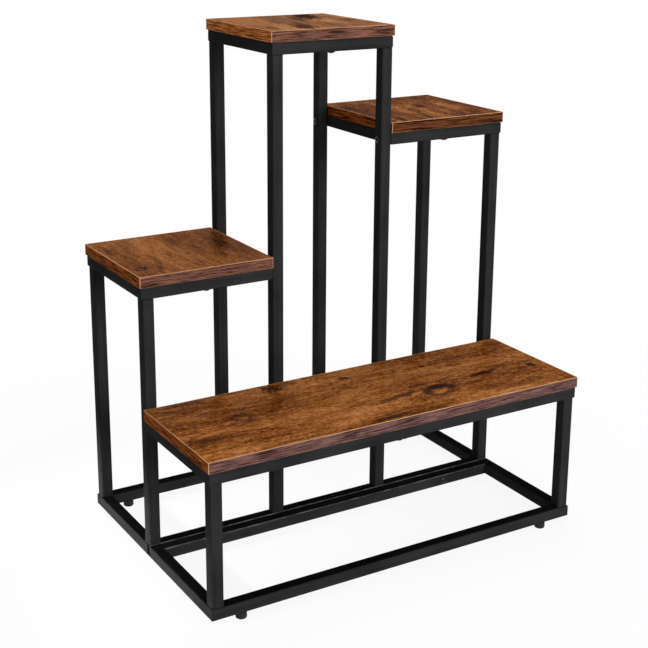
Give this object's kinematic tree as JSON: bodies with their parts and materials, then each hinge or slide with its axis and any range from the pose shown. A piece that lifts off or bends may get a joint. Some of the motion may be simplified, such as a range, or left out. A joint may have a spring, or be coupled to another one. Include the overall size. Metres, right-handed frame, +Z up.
{
  "type": "plant stand",
  "caption": "Tiered plant stand with a low bench shelf in front of shelf towers of different height, laminated boards on square black steel tube, levelling feet",
  "frame": {"origin": "on the floor, under the middle of the stand, with the feet screwed right in", "axes": "+Z up, +X to the right as seen from the bench side, +Y from the bench towards the towers"},
  "size_m": [0.695, 0.461, 0.8521],
  "materials": {
    "frame": "satin black powder coat on steel tube",
    "board": "rustic brown wood-grain laminate on particle board, satin",
    "edge_band": "wood-grain edge band, satin",
    "bolt": "black coated steel",
    "nut": "zinc plated",
    "plug": "moulded",
    "foot": "moulded, matte black"
  },
  "bodies": {
    "stand": {"bench_board": "board", "left_board": "board", "centre_board": "board", "right_board": "board", "bench_edge_band": "edge_band", "left_edge_band": "edge_band", "centre_edge_band": "edge_band", "right_edge_band": "edge_band", "bench_top_rail_front": "frame", "bench_top_rail_right": "frame", "bench_top_rail_back": "frame", "bench_top_rail_left": "frame", "left_top_rail_front": "frame", "left_top_rail_right": "frame", "left_top_rail_back": "frame", "left_top_rail_left": "frame", "centre_top_rail_front": "frame", "centre_top_rail_right": "frame", "centre_top_rail_back": "frame", "centre_top_rail_left": "frame", "right_top_rail_front": "frame", "right_top_rail_right": "frame", "right_top_rail_back": "frame", "right_top_rail_left": "frame", "front_base_rail_front": "frame", "front_base_rail_right": "frame", "front_base_rail_back": "frame", "front_base_rail_left": "frame", "rear_base_rail_front": "frame", "rear_base_rail_right": "frame", "rear_base_rail_back": "frame", "rear_base_rail_left": "frame", "bench_leg_left": "frame", "bench_leg_right": "frame", "left_leg_front": "frame", "left_leg_rear": "frame", "centre_leg_front_left": "frame", "centre_leg_rear_left": "frame", "centre_leg_front_right": "frame", "centre_leg_rear_right": "frame", "right_leg_front": "frame", "right_leg_rear": "frame", "leg_plugs": "plug", "leg_bolts": "bolt", "board_screws": "bolt", "board_inserts": "nut", "tower_bolts": "bolt", "bench_bolts": "bolt", "base_bolts": "bolt", "weld_nuts": "nut", "foot_nuts": "nut"},
    "foot_front_left": {"foot_pad_front_left": "foot", "foot_stud_front_left": "nut"},
    "foot_front_right": {"foot_pad_front_right": "foot", "foot_stud_front_right": "nut"},
    "foot_rear_left": {"foot_pad_rear_left": "foot", "foot_stud_rear_left": "nut"},
    "foot_rear_right": {"foot_pad_rear_right": "foot", "foot_stud_rear_right": "nut"}
  },
  "joints": [
    {"name": "foot_front_left_height", "type": "slide", "parent": "stand", "child": "foot_front_left", "axis": [0, 0, -1], "range_m": [0, 0.008]},
    {"name": "foot_front_right_height", "type": "slide", "parent": "stand", "child": "foot_front_right", "axis": [0, 0, -1], "range_m": [0, 0.008]},
    {"name": "foot_rear_left_height", "type": "slide", "parent": "stand", "child": "foot_rear_left", "axis": [0, 0, -1], "range_m": [0, 0.008]},
    {"name": "foot_rear_right_height", "type": "slide", "parent": "stand", "child": "foot_rear_right", "axis": [0, 0, -1], "range_m": [0, 0.008]}
  ]
}
